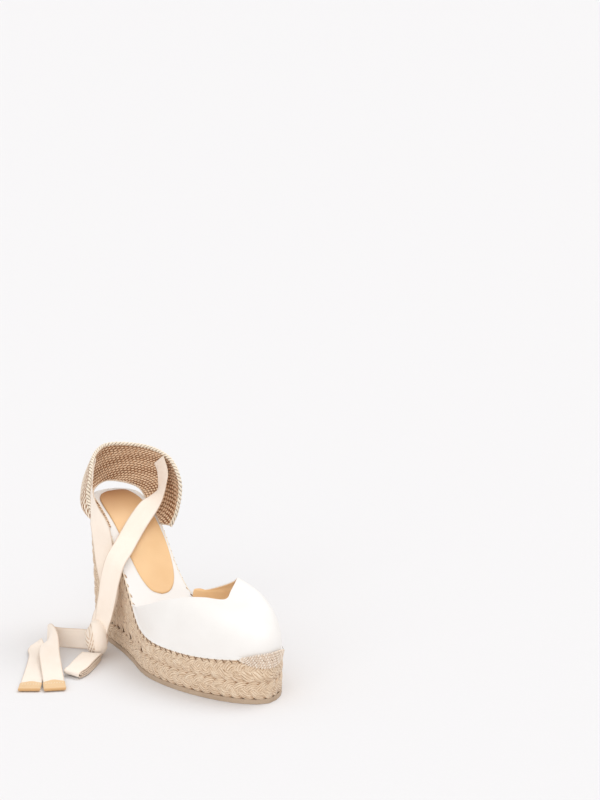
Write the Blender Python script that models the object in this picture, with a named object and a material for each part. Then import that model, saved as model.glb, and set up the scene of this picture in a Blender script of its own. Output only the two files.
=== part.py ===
"""Right shoe of a pair of wedge espadrille sandals with ankle ribbons.

World frame: metres, +Z up, toe towards -Y, inner (medial) side towards +X. The origin is on the
ground, under the waist of the outsole. Inside this script a point is (u, v, z) in millimetres:
u runs from the back of the heel to the toe, v from the outer side (-) to the inner side (+).
"""

import math

import bmesh
import bpy
import numpy as np

MM = 0.001
ORIGIN_U = 102.0            # distance from the heel's back to the world origin
GAP = 0.3                   # clearance kept between touching pieces

# Sole
OUTSOLE_THICKNESS = 3.6
HEEL_LIFT_LENGTH = 33.0
HEEL_LIFT_THICKNESS = 2.4
INLAY_THICKNESS = 1.4
WINDOW_DEPTH = 1.7
WALL_FLARE = 0.03           # the wedge widens by this much for each millimetre of height

# Jute wrap: a base row along the outsole, and rows that follow the footbed down to it
BRAID_DEPTH = 7.0
BRAID_BULGE = 0.8
FILL_CLEARANCE = 0.9        # from the wrap's inner face to the core and the footbed layers
BASE_ROW_HEIGHT = 13.1
FOREFOOT_ROW_HEIGHT = 13.1
HEEL_ROW_HEIGHT = 14.1
UPPER_ROWS = 7
ROW_GAP = 0.45
ROW_END_HEIGHT = 3.0
FOREFOOT_START = 122.0      # in front of this the wrap has only the base row and the top row

# Footbed layers, as depths below or heights above the jute's upper edge
BOARD_DEPTHS = (5.7, 3.5)
FOAM_DEPTHS = (3.2, 0.2)
COVER_HEIGHTS = (0.2, 1.4)
COVER_INSET = 0.9
SOCK_HEIGHTS = (1.7, 2.7)
UPPER_FOOT = 1.8            # height of the lower edges of vamp and counter

# Upper
VAMP_THICKNESS = 1.2
LINING_THICKNESS = 0.8
PUFF_THICKNESS = 0.7
COUNTER_THICKNESS = 2.2
RIM_RADIUS = 1.5
TOE_STITCH_START = 214.0

# Ribbon
RIBBON_WIDTH = 16.5
RIBBON_THICKNESS = 0.9
TIP_LENGTH = 18.0
TIP_ROOF = 4.5
TIP_THICKNESS = 2.2

# Ground outline of the sole, anticlockwise seen from below, starting at the back of the heel
OUTLINE = [
    (0, 0), (3, -12), (12, -19.5), (33, -22.5), (68, -27), (95, -32.5), (119, -39),
    (138, -41.3), (155, -40.3), (175, -36.8), (195, -30.5), (215, -21), (230, -9.5), (237, 2.5),
    (234, 13.5), (222.5, 26), (201, 37), (181, 40.8), (161, 41.5), (141, 39.5), (124, 33),
    (106, 22.5), (89, 17.5), (66, 17.5), (35, 20.5), (13, 18.5), (3, 11),
]
FOREFOOT_WINDOW = [
    (116, -23), (128, -32), (149, -34), (174, -30), (200, -20), (200, 20), (180, 29.5),
    (160, 32), (141, 29.5), (128, 23), (116, 12),
]
HEEL_WINDOW = [(37.5, -14.5), (86, -22), (89, -19), (89, 7), (86, 10), (37.5, 12.5)]

# Height of the jute's upper edge along the shoe
FOOTBED = [
    (-4, 116.5), (10, 115), (25, 110), (42, 101.5), (60, 87), (80, 66.5), (100, 47.5),
    (120, 36), (140, 31.5), (165, 30.5), (200, 31.5), (242, 36),
]

# Outer and inner edge of the leather sock
SOCK_OUTER = [
    (6, 4), (8, -8), (15, -16), (30, -19), (54, -19.5), (75, -18.5), (86, -16.5), (93, -12.5), (96.5, -5),
]
SOCK_INNER = [
    (6, 4), (9, 12), (15, 15), (24, 17.5), (38, 18.3), (60, 17.8), (72, 16.5), (83, 13.5), (91, 8.5),
    (95.5, 2), (96.5, -5),
]

# Vamp: throat edge from the outer feather over both peaks and the notch to the inner feather
THROAT = [
    (101, -35.5, 48.5), (110, -36.6, 50.3), (125, -36.8, 55.6), (140, -34.5, 61.8), (151, -31, 65.7),
    (160, -27, 68.5), (168, -22, 70.3), (176, -13.5, 70.6), (183.5, 0, 68.8), (176, 10.5, 72.5),
    (166.5, 22, 78), (153, 28.3, 71.9), (137, 30.5, 64.8), (123, 29.8, 58.9), (112, 27, 54.4),
    (105, 24.2, 52), (100, 21.9, 50.6),
]
VAMP_START_U = 101.0
VAMP_END_U = 99.5

# Counter: rim, middle and lower edge, from the outer side around the heel to the inner side
COUNTER_RIM = [
    (56, -26.5, 94), (50, -33.5, 101.5), (43, -38, 110), (36, -38.6, 119), (30.5, -35.3, 128.5),
    (23.5, -29.5, 137), (16, -24.3, 144), (6, -15.5, 150), (-3, 0, 153.8), (5, 17, 154),
    (22, 28.5, 152.5), (42, 33.5, 147.5), (55, 34, 138), (60, 34, 125), (61.5, 29.7, 107),
    (59, 23.5, 91.5),
]
COUNTER_MIDDLE = [
    (55.5, -26.5, 94), (49.5, -31, 99.3), (43, -35.5, 104.3), (31, -39, 112.5), (16, -33, 120),
    (2, -21.5, 129),
    (-7, 0, 136), (-2, 18, 136.5), (15, 29.5, 132), (36, 34.5, 125), (51, 33, 110), (58.5, 23.2, 91.2),
]
COUNTER_EDGE_LIFT = [(55, 1.4), (42, 1.4), (28, 1.4), (12, 4.5)]
COUNTER_ARCH = (-5.0, 2.0, 124.0)

# Ribbons: centre of the strip and direction of its width
RIBBON_MEDIAL = [
    ((35, 28.8, 146), (0.9, 0.05, 0.3)), ((39.5, 29, 139), (0.9, 0.05, 0.3)),
    ((43.5, 27.5, 132), (0.9, 0, 0.25)), ((47, 24, 124.5), (0.95, -0.2, 0.1)),
    ((48.5, 17.5, 117.5), (0.85, 0.15, 0)), ((50, 9, 111), (0.7, 0.5, -0.25)),
    ((54, -2, 102.5), (0.6, 0.68, -0.38)), ((60, -13, 94), (0.58, 0.71, -0.38)),
    ((70, -25.2, 87.6), (0.6, 0.66, -0.4)), ((75.6, -36, 79), (0.68, 0.62, -0.35)),
    ((77, -41.7, 65.4), (0.76, 0.6, -0.2)), ((75.6, -43.8, 51), (0.85, 0.5, 0)),
    ((72.8, -45, 38.5), (0.9, 0.36, 0.05)), ((71, -45.6, 31.5), (0.93, 0.25, 0.05)),
]
RIBBON_LATERAL = [
    ((29, -28, 147.5), (0.85, -0.45, 0.25)), ((33.5, -31.5, 144), (0.86, -0.45, 0.28)),
    ((38.5, -35, 138.5), (0.88, -0.45, 0.3)), ((44, -39, 131.5), (0.93, -0.42, 0.3)),
    ((49.5, -41.3, 124.5), (0.97, -0.3, 0.28)), ((54.5, -41.7, 115), (0.97, 0.05, 0.25)),
    ((57.5, -41, 108.5), (0.88, 0.38, 0.2)), ((58.8, -39.3, 101), (0.78, 0.56, 0.15)),
    ((58.4, -37, 86), (0.72, 0.66, 0.1)), ((63.8, -37.4, 70), (0.74, 0.64, 0)),
    ((65.5, -36, 55), (0.78, 0.62, 0)), ((65, -38, 42), (0.82, 0.55, 0)),
    ((65, -43, 33), (0.85, 0.45, 0)),
]
KNOT_CENTRE = (67, -49.5, 15.2)
KNOT_RADII = (11.5, 9.5, 14.8)
RIBBON_RUN = [
    ((53.5, -49.5, 10.5), (0, 0, 1)), ((46, -51.5, 9.5), (0, 0, 1)), ((38, -57.5, 9), (0, 0, 1)),
    ((31, -64, 9), (0, 0, 1)), ((24.5, -67.3, 9), (0, 0, 1)),
]
TAIL_FRONT = [
    ((22, -70.5, 9.2), (0, 0.2, 1)), ((30, -71.8, 13), (0.05, 0.2, 0.97)),
    ((41, -78.2, 12.2), (0.26, 0.74, 0.58)), ((56, -86.5, 8), (0.4, 0.9, 0.14)),
    ((74, -94.6, 5.8), (0.42, 0.9, 0.02)), ((90, -101.7, 4.4), (0.42, 0.9, 0)),
    ((107.3, -109.4, 3), (0.42, 0.9, 0)),
]
TAIL_REAR = [
    ((19, -74, 8.9), (0, 0.1, 1)), ((21.5, -78.5, 7), (0.4, 0.45, 0.75)),
    ((27.5, -82.7, 2.9), (0.52, 0.84, 0.08)), ((36, -86.2, 2.7), (0.52, 0.85, 0.02)),
    ((46, -90.5, 2.5), (0.53, 0.85, 0)), ((62, -100.2, 2.2), (0.53, 0.85, 0)),
    ((80, -111.7, 2), (0.53, 0.85, 0)), ((98.4, -123.7, 1.8), (0.53, 0.85, 0)),
]
LOOP = [
    ((73.5, -57.5, 6.2), (0.84, 0.54, 0)), ((82, -65.5, 7), (0.8, 0.6, 0)),
    ((91, -75, 7), (0.85, 0.5, 0)), ((98.2, -83, 6.4), (0.92, 0.38, 0)),
    ((101.8, -89.4, 5.6), (0.95, 0.3, 0)), ((102.7, -91.5, 3.6), (0.95, 0.3, 0)),
    ((101.8, -89.4, 1.7), (0.95, 0.3, 0)), ((98.2, -83, 1.2), (0.92, 0.38, 0)),
    ((91, -75, 1.2), (0.85, 0.5, 0)), ((82, -66, 1.2), (0.8, 0.6, 0)),
    ((73.5, -58, 1.2), (0.84, 0.54, 0)),
]

# Points on the axes that the run swings about and the tails and the loop lift about
RUN_HINGE = (53.5, -49.5, 9)
REAR_HINGE = (19, -73.5, 17)
FRONT_HINGE = (22, -70.5, 17.4)
LOOP_HINGE = (73.5, -57.5, 6.7)

COLOURS = {
    "rubber": ((0.72, 0.52, 0.36), 0.6),
    "inlay": ((0.86, 0.63, 0.38), 0.5),
    "cork": ((0.55, 0.36, 0.2), 0.9),
    "jute": ((0.74, 0.57, 0.4), 0.9),
    "board": ((0.5, 0.36, 0.22), 0.9),
    "foam": ((0.9, 0.85, 0.7), 0.95),
    "white_leather": ((0.93, 0.92, 0.9), 0.45),
    "tan_leather": ((0.84, 0.52, 0.24), 0.5),
    "thread": ((0.68, 0.58, 0.48), 0.8),
    "weave": ((0.86, 0.74, 0.6), 0.9),
    "ribbon": ((0.88, 0.8, 0.7), 0.85),
}


def spline(points, count, closed=False):
    """Evenly spaced points on a Catmull-Rom curve through the given points."""
    p = np.asarray(points, float)
    if closed:
        p = np.vstack([p[-1], p, p[0], p[1]])
    else:
        p = np.vstack([2 * p[0] - p[1], p, 2 * p[-1] - p[-2]])
    t = np.linspace(0, 1, 24, endpoint=False)[:, None]
    pieces = []
    for a, b, c, d in zip(p[:-3], p[1:-2], p[2:-1], p[3:]):
        pieces.append(0.5 * (2 * b + (c - a) * t + (2 * a - 5 * b + 4 * c - d) * t ** 2
                             + (3 * b - a - 3 * c + d) * t ** 3))
    dense = np.vstack(pieces + [p[-2][None]])
    return resample(dense, count, closed)


def resample(dense, count, closed=False):
    """Points at even distances along a polyline; a closed one does not repeat its first point."""
    steps = np.linalg.norm(np.diff(dense, axis=0), axis=1)
    length = np.concatenate([[0], np.cumsum(steps)])
    at = np.linspace(0, length[-1], count, endpoint=not closed)
    return np.stack([np.interp(at, length, dense[:, k]) for k in range(dense.shape[1])], axis=1)


def profile(stations):
    """A smooth function of u through (u, value) stations."""
    curve = spline(stations, 600)
    return lambda u: np.interp(u, curve[:, 0], curve[:, 1])


footbed = profile(FOOTBED)
LOOP_COUNT = 112
ground_loop = spline(OUTLINE, LOOP_COUNT, closed=True)


def loop_normals(loop):
    """Outward unit normals of a closed plan outline."""
    along = np.roll(loop, -1, axis=0) - np.roll(loop, 1, axis=0)
    normal = np.stack([along[:, 1], -along[:, 0]], axis=1)
    normal /= np.linalg.norm(normal, axis=1)[:, None]
    outward = np.sum(normal * (loop - loop.mean(axis=0)), axis=1).sum() > 0
    return normal if outward else -normal


ground_normals = loop_normals(ground_loop)


def wall_points(height, inset, index=None):
    """Points on the wedge's wall, moved inwards by the inset, at a height that depends on u."""
    index = np.arange(LOOP_COUNT) if index is None else index
    outward = WALL_FLARE * height(ground_loop[index, 0]) - inset
    plan = ground_loop[index] + ground_normals[index] * outward[:, None]
    return np.column_stack([plan, height(plan[:, 0])])


def level(height):
    """The same height all along the shoe."""
    return lambda u: np.full_like(u, height)


def raised(lift):
    """The footbed's edge, moved up or down."""
    return lambda u: footbed(u) + lift


def between(low, high, share):
    """A height part of the way from one to another."""
    return lambda u: low(u) + (high(u) - low(u)) * share


def edge_sides(inset, height=footbed):
    """Outer and inner v of the wedge's outline as functions of u, and its range of u."""
    edge = wall_points(height, inset)
    toe = int(np.argmax(edge[:, 0]))
    heel = int(np.argmin(edge[:, 0]))
    loop = np.roll(edge, -heel, axis=0)
    toe = (toe - heel) % LOOP_COUNT
    outer = loop[:toe + 1]
    inner = np.vstack([loop[toe:], loop[:1]])[::-1]
    return (lambda u: np.interp(u, outer[:, 0], outer[:, 1]),
            lambda u: np.interp(u, inner[:, 0], inner[:, 1]),
            outer[0, 0], outer[-1, 0])


def material(kind):
    found = bpy.data.materials.get(kind)
    if found:
        return found
    colour, roughness = COLOURS[kind]
    made = bpy.data.materials.new(kind)
    made.use_nodes = True
    shader = made.node_tree.nodes["Principled BSDF"]
    shader.inputs["Base Color"].default_value = (*colour, 1)
    shader.inputs["Roughness"].default_value = roughness
    shader.inputs["Metallic"].default_value = 0
    return made


def solid(name, points, faces, kind, hinge=(0, 0, 0)):
    """A mesh object from (u, v, z) points, with its origin at the hinge point."""
    points = np.asarray(points, float) - np.asarray(hinge, float)
    world = np.column_stack([points[:, 1], -points[:, 0], points[:, 2]]) * MM
    mesh = bpy.data.meshes.new(name)
    mesh.from_pydata(world.tolist(), [], faces)
    work = bmesh.new()
    work.from_mesh(mesh)
    bmesh.ops.recalc_face_normals(work, faces=work.faces)
    work.to_mesh(mesh)
    work.free()
    mesh.shade_smooth()
    mesh.set_sharp_from_angle(angle=math.radians(35))
    mesh.materials.append(material(kind))
    made = bpy.data.objects.new(name, mesh)
    bpy.context.scene.collection.objects.link(made)
    u, v, z = hinge
    made.location = (v * MM, (ORIGIN_U - u) * MM, z * MM)
    return made


def loft(name, rings, kind, closed=False, hinge=(0, 0, 0)):
    """A solid through a row of equal rings, closed on itself or capped at both ends."""
    rings = np.asarray(rings, float)
    count, sides = rings.shape[:2]
    faces = []
    for i in range(count if closed else count - 1):
        j = (i + 1) % count
        for k in range(sides):
            m = (k + 1) % sides
            faces.append((i * sides + k, i * sides + m, j * sides + m, j * sides + k))
    if not closed:
        faces.append(tuple(range(sides)))
        faces.append(tuple(range((count - 1) * sides, count * sides)))
    return solid(name, rings.reshape(-1, 3), faces, kind, hinge)


def slab(name, outline, low, high, kind):
    """A flat-topped solid with a plan outline between two heights."""
    rings = [[(u, v, z) for u, v in outline] for z in (low, high)]
    return loft(name, rings, kind)


def sheet(name, outer, inner, start, end, low, high, kind, stations=30):
    """A layer that follows the footbed between its outer and inner edges."""
    turn = np.linspace(0, math.pi, stations)
    us = start + (end - start) * (1 - np.cos(turn)) / 2
    us[0] += 0.1
    us[-1] -= 0.1
    rings = []
    for u in us:
        base = footbed(u)
        rings.append([(u, outer(u), base + low), (u, inner(u), base + low),
                      (u, inner(u), base + high), (u, outer(u), base + high)])
    return loft(name, rings, kind)


def grid_normals(grid):
    """Unit normals of a grid of points."""
    along = np.gradient(grid, axis=0)
    across = np.gradient(grid, axis=1)
    normal = np.cross(along, across)
    return normal / np.linalg.norm(normal, axis=2)[:, :, None]


def shell(name, grid, normals, depths, kind):
    """A closed shell between two offsets of a grid along its normals."""
    rows, columns = grid.shape[:2]
    sides = [(grid + normals * depth).reshape(-1, 3) for depth in depths]
    size = rows * columns
    faces = []
    for i in range(rows - 1):
        for j in range(columns - 1):
            a = i * columns + j
            quad = (a, a + 1, a + columns + 1, a + columns)
            faces.append(quad)
            faces.append(tuple(size + k for k in quad))
    border = [(i, 0) for i in range(rows)]
    border += [(rows - 1, j) for j in range(1, columns)]
    border += [(i, columns - 1) for i in range(rows - 2, -1, -1)]
    border += [(0, j) for j in range(columns - 2, 0, -1)]
    border = [i * columns + j for i, j in border]
    for a, b in zip(border, border[1:] + border[:1]):
        faces.append((a, b, size + b, size + a))
    return solid(name, np.vstack(sides), faces, kind)


def strip(name, stations, count, kind, width=RIBBON_WIDTH, thickness=RIBBON_THICKNESS,
          hinge=(0, 0, 0)):
    """A ribbon along a route, with its width turned as each station says."""
    centre = spline([place for place, _ in stations], count)
    turned = spline([np.concatenate([place, direction]) for place, direction in stations], count)
    along = np.gradient(centre, axis=0)
    along /= np.linalg.norm(along, axis=1)[:, None]
    across = turned[:, 3:]
    across = across - along * np.sum(across * along, axis=1)[:, None]
    across /= np.linalg.norm(across, axis=1)[:, None]
    normal = np.cross(along, across)
    w = across * width / 2
    t = normal * thickness / 2
    shares = np.linspace(-1, 1, 5)
    under = [centre + w * share - t for share in shares]
    over = [centre + w * share + t for share in shares[::-1]]
    return loft(name, np.stack(under + over, axis=1), kind, hinge=hinge)


def tube(name, centre, radius, sides, kind):
    """A round cord along a route."""
    along = np.gradient(centre, axis=0)
    along /= np.linalg.norm(along, axis=1)[:, None]
    first = np.cross(along, (0, 0, 1))
    first /= np.linalg.norm(first, axis=1)[:, None]
    second = np.cross(along, first)
    turns = np.linspace(0, 2 * math.pi, sides, endpoint=False)
    rings = [[c + radius * (math.cos(t) * a + math.sin(t) * b) for t in turns]
             for c, a, b in zip(centre, first, second)]
    return loft(name, rings, kind)


def scaled_outline(outline, shrink):
    """An outline moved inwards by the given distance."""
    loop = np.asarray(outline, float)
    before = loop - np.roll(loop, 1, axis=0)
    after = np.roll(loop, -1, axis=0) - loop
    before /= np.linalg.norm(before, axis=1)[:, None]
    after /= np.linalg.norm(after, axis=1)[:, None]
    left = np.stack([-(before + after)[:, 1], (before + after)[:, 0]], axis=1)
    left /= np.linalg.norm(left, axis=1)[:, None]
    half_angle = np.sqrt(np.clip((1 + np.sum(before * after, axis=1)) / 2, 0.2, 1))
    area = np.sum(loop[:, 0] * np.roll(loop[:, 1], -1) - loop[:, 1] * np.roll(loop[:, 0], -1))
    side = 1 if area > 0 else -1
    return loop + side * left * (shrink / half_angle)[:, None]


def cut(target, name, outline, low, high):
    """Cut a prism out of a solid."""
    cutter = slab(name, outline, low, high, "rubber")
    cutter.hide_render = True
    cutter.display_type = "WIRE"
    modifier = target.modifiers.new(name, "BOOLEAN")
    modifier.operation = "DIFFERENCE"
    modifier.solver = "EXACT"
    modifier.object = cutter


def build_outsole():
    outline = ground_loop[::2]
    outsole = slab("outsole", outline, 0, OUTSOLE_THICKNESS, "rubber")
    cut(outsole, "forefoot_window", FOREFOOT_WINDOW, -1, WINDOW_DEPTH)
    cut(outsole, "heel_window", HEEL_WINDOW, -1, WINDOW_DEPTH)
    pocket = [(-10, -40), (HEEL_LIFT_LENGTH + 1, -40), (HEEL_LIFT_LENGTH + 1, 40), (-10, 40)]
    cut(outsole, "heel_lift_pocket", pocket, -1, HEEL_LIFT_THICKNESS + GAP)
    rear = [point for point in outline if point[0] < HEEL_LIFT_LENGTH]
    split = next(i for i in range(len(rear) - 1) if rear[i + 1][1] - rear[i][1] > 20)
    lift = rear[:split + 1] + [(HEEL_LIFT_LENGTH, -22.3), (HEEL_LIFT_LENGTH, 20.3)] + rear[split + 1:]
    slab("heel_lift", lift, 0, HEEL_LIFT_THICKNESS, "rubber")
    slab("forefoot_inlay", scaled_outline(FOREFOOT_WINDOW, GAP), 0, INLAY_THICKNESS, "inlay")
    slab("heel_inlay", scaled_outline(HEEL_WINDOW, GAP), 0, INLAY_THICKNESS, "inlay")


def build_core():
    """Wedge core under the insole board, inside the jute rows."""
    floor = OUTSOLE_THICKNESS + GAP
    outer, inner, start, end = edge_sides(BRAID_DEPTH + FILL_CLEARANCE, level(floor))
    turn = np.linspace(0, math.pi, 34)
    rings = []
    for u in start + 0.1 + (end - start - 0.2) * (1 - np.cos(turn)) / 2:
        top = footbed(u) - BOARD_DEPTHS[0] - 2 * GAP
        rings.append([(u, outer(u), floor), (u, inner(u), floor), (u, inner(u), top), (u, outer(u), top)])
    loft("wedge_core", rings, "cork")


def row_pitch(u):
    """Height of one jute row, growing from the arch to the heel."""
    share = np.clip((110 - u) / 110, 0, 1)
    slope = np.gradient(footbed(np.arange(-20, 260.0)))
    steep = np.sqrt(1 + np.interp(u, np.arange(-20, 260.0), slope) ** 2)
    return FOREFOOT_ROW_HEIGHT * steep * (1 - share ** 2) + HEEL_ROW_HEIGHT * share ** 2


def braid_rings(low, high, index):
    """Sections of one jute row along the wall, with a rounded outer face."""
    outer = [(0, 1.0), (0.2, 0), (0.5, -BRAID_BULGE), (0.8, 0), (1, 1.0)]
    parts = [wall_points(between(low, high, share), inset, index) for share, inset in outer]
    parts += [wall_points(high, BRAID_DEPTH, index), wall_points(low, BRAID_DEPTH, index)]
    return np.stack(parts, axis=1)


def build_braids():
    """The base row on the outsole, and the rows above it, which end where they come down to it."""
    stations = np.arange(0, LOOP_COUNT, 2)
    u = ground_loop[stations, 0]
    base_low = OUTSOLE_THICKNESS + GAP
    floor = base_low + BASE_ROW_HEIGHT + GAP
    base = braid_rings(level(base_low), level(floor - GAP), stations)
    loft("braid_base_row", base, "jute", closed=True)
    keep = np.arange(len(stations))
    landed = np.zeros(len(stations), bool)
    for row in range(1, UPPER_ROWS + 1):
        top = row_edge(row - 1, landed[keep], floor, 0 if row == 1 else ROW_GAP)
        lands = (row_edge(row, False, floor)(u) - floor < ROW_END_HEIGHT) | (u > FOREFOOT_START)
        rings = braid_rings(row_edge(row, lands[keep], floor), top, stations[keep])
        loft(f"braid_row_{row}", rings, "jute", closed=row == 1)
        keep = np.nonzero(~lands)[0]
        half = len(stations) / 2
        keep = np.concatenate([keep[keep > half], keep[keep <= half]])
        landed = lands


def row_edge(row, landed, floor, gap=0):
    """Lower edge of an upper jute row, which lies on the base row where it has landed."""
    return lambda u: np.where(landed, floor, footbed(u) - row * row_pitch(u) - gap)


def build_footbed():
    outer, inner, start, end = edge_sides(BRAID_DEPTH + FILL_CLEARANCE)
    sheet("insole_board", outer, inner, start, end, -BOARD_DEPTHS[0], -BOARD_DEPTHS[1], "board")
    sheet("foam_footbed", outer, inner, start, end, -FOAM_DEPTHS[0], -FOAM_DEPTHS[1], "foam")
    outer, inner, start, end = edge_sides(COVER_INSET)
    sheet("footbed_cover", outer, inner, start, end, *COVER_HEIGHTS, "white_leather", stations=40)
    sheet("sock_liner", profile(SOCK_OUTER), profile(SOCK_INNER), SOCK_OUTER[0][0], SOCK_OUTER[-1][0],
          *SOCK_HEIGHTS, "tan_leather", stations=24)


def feather_curve(count, inset, lift):
    """The vamp's lower edge, from the outer side around the toe to the inner side."""
    edge = wall_points(raised(lift), inset)
    half = LOOP_COUNT // 2
    keep = [i for i in range(LOOP_COUNT)
            if edge[i, 0] > (VAMP_START_U if i < half else VAMP_END_U)]
    return resample(edge[keep], count)


def vamp_grid(columns=44, rows=12):
    """Points of the vamp's outer face, from the feather up to the throat."""
    foot = feather_curve(columns, 1.2, UPPER_FOOT)
    throat = spline(THROAT, columns)
    away = foot - throat
    away[:, 2] = 0
    reach = np.linalg.norm(away, axis=1)
    rise = throat[:, 2] - foot[:, 2]
    side = away / reach[:, None]
    low_handle = foot + np.outer(0.66 * rise, (0, 0, 1)) + side * np.minimum(0.08 * reach, 3)[:, None]
    high_handle = throat + side * (0.5 * reach)[:, None] - np.outer(0.12 * reach, (0, 0, 1))
    t = np.linspace(0, 1, rows)[None, :, None]
    grid = ((1 - t) ** 3 * foot[:, None] + 3 * t * (1 - t) ** 2 * low_handle[:, None]
            + 3 * t ** 2 * (1 - t) * high_handle[:, None] + t ** 3 * throat[:, None])
    return grid


def build_vamp():
    grid = vamp_grid()
    normals = grid_normals(grid)
    middle = normals[22, 6]
    if middle[2] < 0:
        normals = -normals
    shell("vamp", grid, normals, (0, -VAMP_THICKNESS), "white_leather")
    lining = VAMP_THICKNESS + PUFF_THICKNESS + 2 * GAP
    depths = (-lining, -lining - LINING_THICKNESS)
    shell("vamp_lining", grid[4:-2, 1:], normals[4:-2, 1:], depths, "tan_leather")
    puff = VAMP_THICKNESS + GAP
    toe = grid[14:31, 1:7]
    shell("toe_puff", toe, normals[14:31, 1:7], (-puff, -puff - PUFF_THICKNESS), "board")


def build_stitching():
    """Feather thread along the seam, and the sewn crescent over the toe."""
    everywhere = np.arange(0, LOOP_COUNT, 2)
    corners = [(0.1, -0.1), (0.1, -0.9), (1.1, -0.9), (1.1, -0.1)]
    rings = [wall_points(raised(lift), inset, everywhere) for lift, inset in corners]
    loft("feather_thread", np.stack(rings, axis=1), "thread", closed=True)
    toe = np.array([i for i in range(LOOP_COUNT) if ground_loop[i, 0] > TOE_STITCH_START])
    crown = 1 - np.linspace(-1, 1, len(toe)) ** 2
    low = -1.5 - 7 * crown
    high = 1.2 + 4.5 * crown
    corners = [(low, -1.2), (low, -2.1), (high, -2.1), (high, -1.2)]
    rings = [wall_points(raised(lift), inset, toe) for lift, inset in corners]
    loft("toe_stitching", np.stack(rings, axis=1), "thread")


def counter_grid(columns=40, rows=7):
    outer, inner, _, _ = edge_sides(2.3)
    edge = [(u, outer(u), footbed(u) + UPPER_FOOT + lift) for u, lift in COUNTER_EDGE_LIFT]
    edge.append(COUNTER_ARCH)
    edge += [(u, inner(u), footbed(u) + UPPER_FOOT + lift) for u, lift in reversed(COUNTER_EDGE_LIFT)]
    low = spline(edge, columns)
    middle = spline(COUNTER_MIDDLE, columns)
    high = spline(COUNTER_RIM, columns)
    handle = 2 * middle - (low + high) / 2
    t = np.linspace(0, 1, rows)[None, :, None]
    return (1 - t) ** 2 * low[:, None] + 2 * t * (1 - t) * handle[:, None] + t ** 2 * high[:, None]


def build_counter():
    grid = counter_grid()
    normals = grid_normals(grid)
    if normals[20, 3, 0] > 0:
        normals = -normals
    half = COUNTER_THICKNESS / 2
    shell("heel_counter", grid[2:-1], normals[2:-1], (half, -half), "weave")
    grow = grid[:, -1] - grid[:, -2]
    grow /= np.linalg.norm(grow, axis=1)[:, None]
    rim = resample(grid[:, -1] + grow * (RIM_RADIUS + 2.5 * GAP), 58)[3:-1]
    tube("counter_rim", rim, RIM_RADIUS, 6, "weave")


def build_knot():
    rings = []
    for tilt in np.linspace(-1, 1, 9)[1:-1] * math.pi / 2:
        ring = []
        for turn in np.linspace(0, 2 * math.pi, 14, endpoint=False):
            ring.append((KNOT_CENTRE[0] + KNOT_RADII[0] * math.cos(tilt) * math.cos(turn),
                         KNOT_CENTRE[1] + KNOT_RADII[1] * math.cos(tilt) * math.sin(turn),
                         KNOT_CENTRE[2] + KNOT_RADII[2] * math.sin(tilt)))
        rings.append(ring)
    loft("ribbon_knot", rings, "ribbon")


def tail_tip(name, tail, hinge):
    """The folded leather end of a tail, a little house with its roof towards the ribbon."""
    place = np.array(tail[-1][0], float)
    along = place - np.array(tail[-2][0], float)
    along /= np.linalg.norm(along)
    across = np.cross((0, 0, 1), along)
    across /= np.linalg.norm(across)
    normal = np.cross(along, across)
    half = RIBBON_WIDTH / 2 + 0.3
    apex = place + along * 2 * GAP
    shoulder, end = along * TIP_ROOF, along * TIP_LENGTH
    plan = [apex, apex + across * half + shoulder, apex + across * half + end,
            apex - across * half + end, apex - across * half + shoulder]
    rings = [[p + normal * side * TIP_THICKNESS / 2 for p in plan] for side in (-1, 1)]
    loft(name, rings, "tan_leather", hinge=hinge)


def build_ribbons():
    strip("ribbon_medial", RIBBON_MEDIAL, 48, "ribbon")
    strip("ribbon_lateral", RIBBON_LATERAL, 36, "ribbon")
    build_knot()
    strip("ribbon_run", RIBBON_RUN, 14, "ribbon", hinge=RUN_HINGE)
    strip("ribbon_tail_front", TAIL_FRONT, 36, "ribbon", hinge=FRONT_HINGE)
    strip("ribbon_tail_rear", TAIL_REAR, 40, "ribbon", hinge=REAR_HINGE)
    tail_tip("tail_tip_front", TAIL_FRONT, FRONT_HINGE)
    tail_tip("tail_tip_rear", TAIL_REAR, REAR_HINGE)
    strip("ribbon_loop", LOOP, 46, "ribbon", hinge=LOOP_HINGE)


def main():
    for existing in list(bpy.data.objects):
        bpy.data.objects.remove(existing, do_unlink=True)
    build_outsole()
    build_core()
    build_braids()
    build_footbed()
    build_vamp()
    build_stitching()
    build_counter()
    build_ribbons()


main()
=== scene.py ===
"""Looks of the right wedge espadrille sandal: its pieces, materials, floor, lights and camera.

Inside this script a point is (u, v, z) in millimetres, as in the part's own source: u runs from the
back of the heel to the toe, v from the outer side (-) to the inner side (+), and z upwards.
"""

import math

import bmesh
import bpy
import numpy as np
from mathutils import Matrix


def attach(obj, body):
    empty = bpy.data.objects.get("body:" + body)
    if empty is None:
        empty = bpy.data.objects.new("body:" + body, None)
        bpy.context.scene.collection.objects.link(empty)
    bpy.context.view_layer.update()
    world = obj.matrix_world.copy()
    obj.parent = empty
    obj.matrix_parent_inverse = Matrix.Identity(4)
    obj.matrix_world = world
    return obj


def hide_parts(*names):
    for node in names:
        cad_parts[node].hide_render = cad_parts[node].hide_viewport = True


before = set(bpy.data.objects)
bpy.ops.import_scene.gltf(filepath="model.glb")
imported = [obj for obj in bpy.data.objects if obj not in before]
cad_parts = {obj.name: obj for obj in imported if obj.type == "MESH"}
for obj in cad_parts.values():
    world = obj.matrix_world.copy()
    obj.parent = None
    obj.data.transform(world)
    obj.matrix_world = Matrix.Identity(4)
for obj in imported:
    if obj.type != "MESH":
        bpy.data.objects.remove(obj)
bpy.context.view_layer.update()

MM = 0.001
ORIGIN_U = 102.0            # distance from the heel's back to the world origin
GAP = 0.3                   # clearance kept between touching pieces

# Sole
OUTSOLE_THICKNESS = 3.6
WALL_FLARE = 0.03           # the wedge widens by this much for each millimetre of height

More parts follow.
